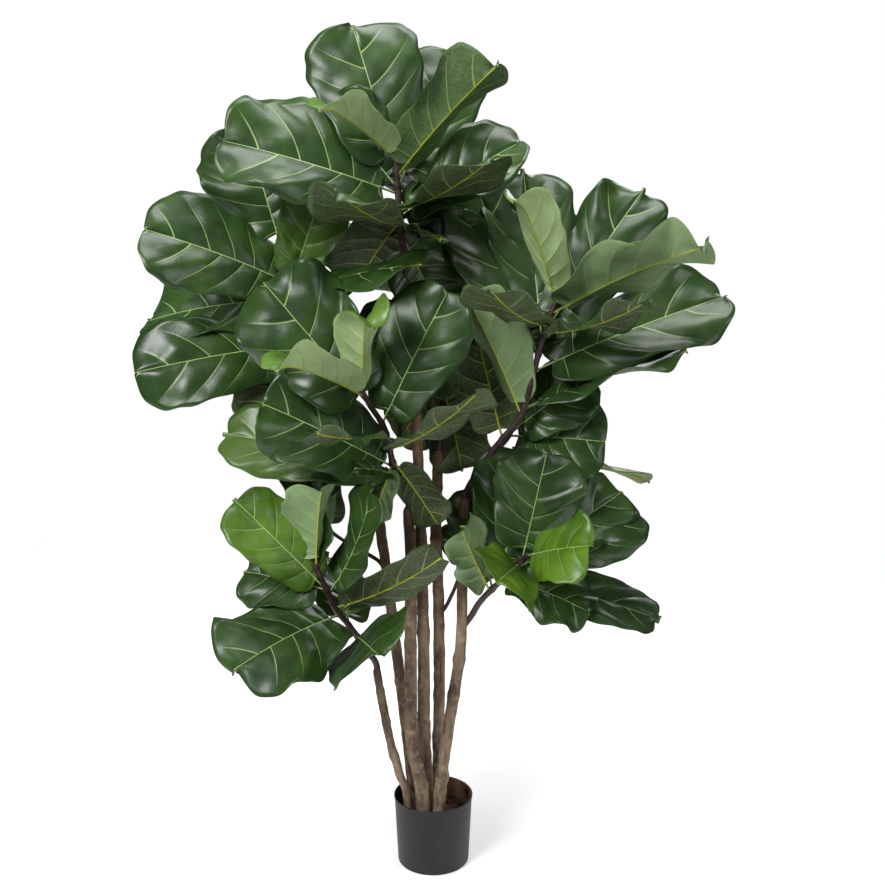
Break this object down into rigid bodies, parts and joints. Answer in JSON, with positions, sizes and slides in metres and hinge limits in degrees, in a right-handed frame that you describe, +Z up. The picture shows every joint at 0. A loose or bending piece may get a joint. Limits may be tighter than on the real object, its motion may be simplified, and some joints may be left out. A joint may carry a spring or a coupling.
{
  "type": "potted fiddle leaf fig",
  "caption": "Tall potted fiddle leaf fig: several slim woody trunks in a tapered nursery pot, with dark leafy shoots and large lyre-shaped leaves.",
  "frame": {"origin": "on the floor, at the centre of the underside of the pot", "axes": "+Z up, along the axis of the pot; the plant's front faces -Y and its right side is +X"},
  "size_m": [1.1776, 0.7513, 1.7608],
  "materials": {
    "pot_plastic": "satin",
    "filler_cement": "rough",
    "bark": "rough",
    "shoot_bark": "matte",
    "leaf": "glossy coated"
  },
  "bodies": {
    "root": {"pot": "pot_plastic", "filler": "filler_cement", "trunk_far_left": "bark", "trunk_left": "bark", "trunk_front": "bark", "trunk_tall": "bark", "trunk_back": "bark", "trunk_right": "bark", "stem_top": "shoot_bark", "stem_left_upper": "shoot_bark", "stem_left_mid": "shoot_bark", "stem_right_upper": "shoot_bark", "stem_right_mid": "shoot_bark", "stem_low_right": "shoot_bark", "stem_low_left": "shoot_bark", "stem_back": "shoot_bark", "twig_left": "shoot_bark", "twig_right": "shoot_bark", "leaf_top_1": "leaf", "leaf_top_2": "leaf", "leaf_top_3": "leaf", "leaf_top_4": "leaf", "leaf_top_5": "leaf", "leaf_top_6": "leaf", "leaf_top_7": "leaf", "leaf_left_upper_1": "leaf", "leaf_left_upper_2": "leaf", "leaf_left_upper_3": "leaf", "leaf_left_upper_4": "leaf", "leaf_left_mid_1": "leaf", "leaf_left_mid_2": "leaf", "leaf_left_mid_3": "leaf", "leaf_left_mid_4": "leaf", "leaf_left_mid_5": "leaf", "leaf_left_mid_6": "leaf", "leaf_left_mid_7": "leaf", "leaf_twig_left_1": "leaf", "leaf_low_left_1": "leaf", "leaf_low_left_2": "leaf", "leaf_low_left_3": "leaf", "leaf_low_left_4": "leaf", "leaf_right_upper_1": "leaf", "leaf_right_upper_2": "leaf", "leaf_right_upper_3": "leaf", "leaf_right_upper_4": "leaf", "leaf_right_upper_5": "leaf", "leaf_right_upper_6": "leaf", "leaf_right_upper_7": "leaf", "leaf_right_mid_1": "leaf", "leaf_low_right_1": "leaf", "leaf_low_right_2": "leaf", "leaf_low_right_3": "leaf", "leaf_low_right_4": "leaf", "leaf_low_right_5": "leaf", "leaf_back_1": "leaf", "leaf_back_2": "leaf", "leaf_back_3": "leaf", "leaf_back_4": "leaf", "leaf_back_5": "leaf", "leaf_back_6": "leaf"}
  },
  "joints": []
}
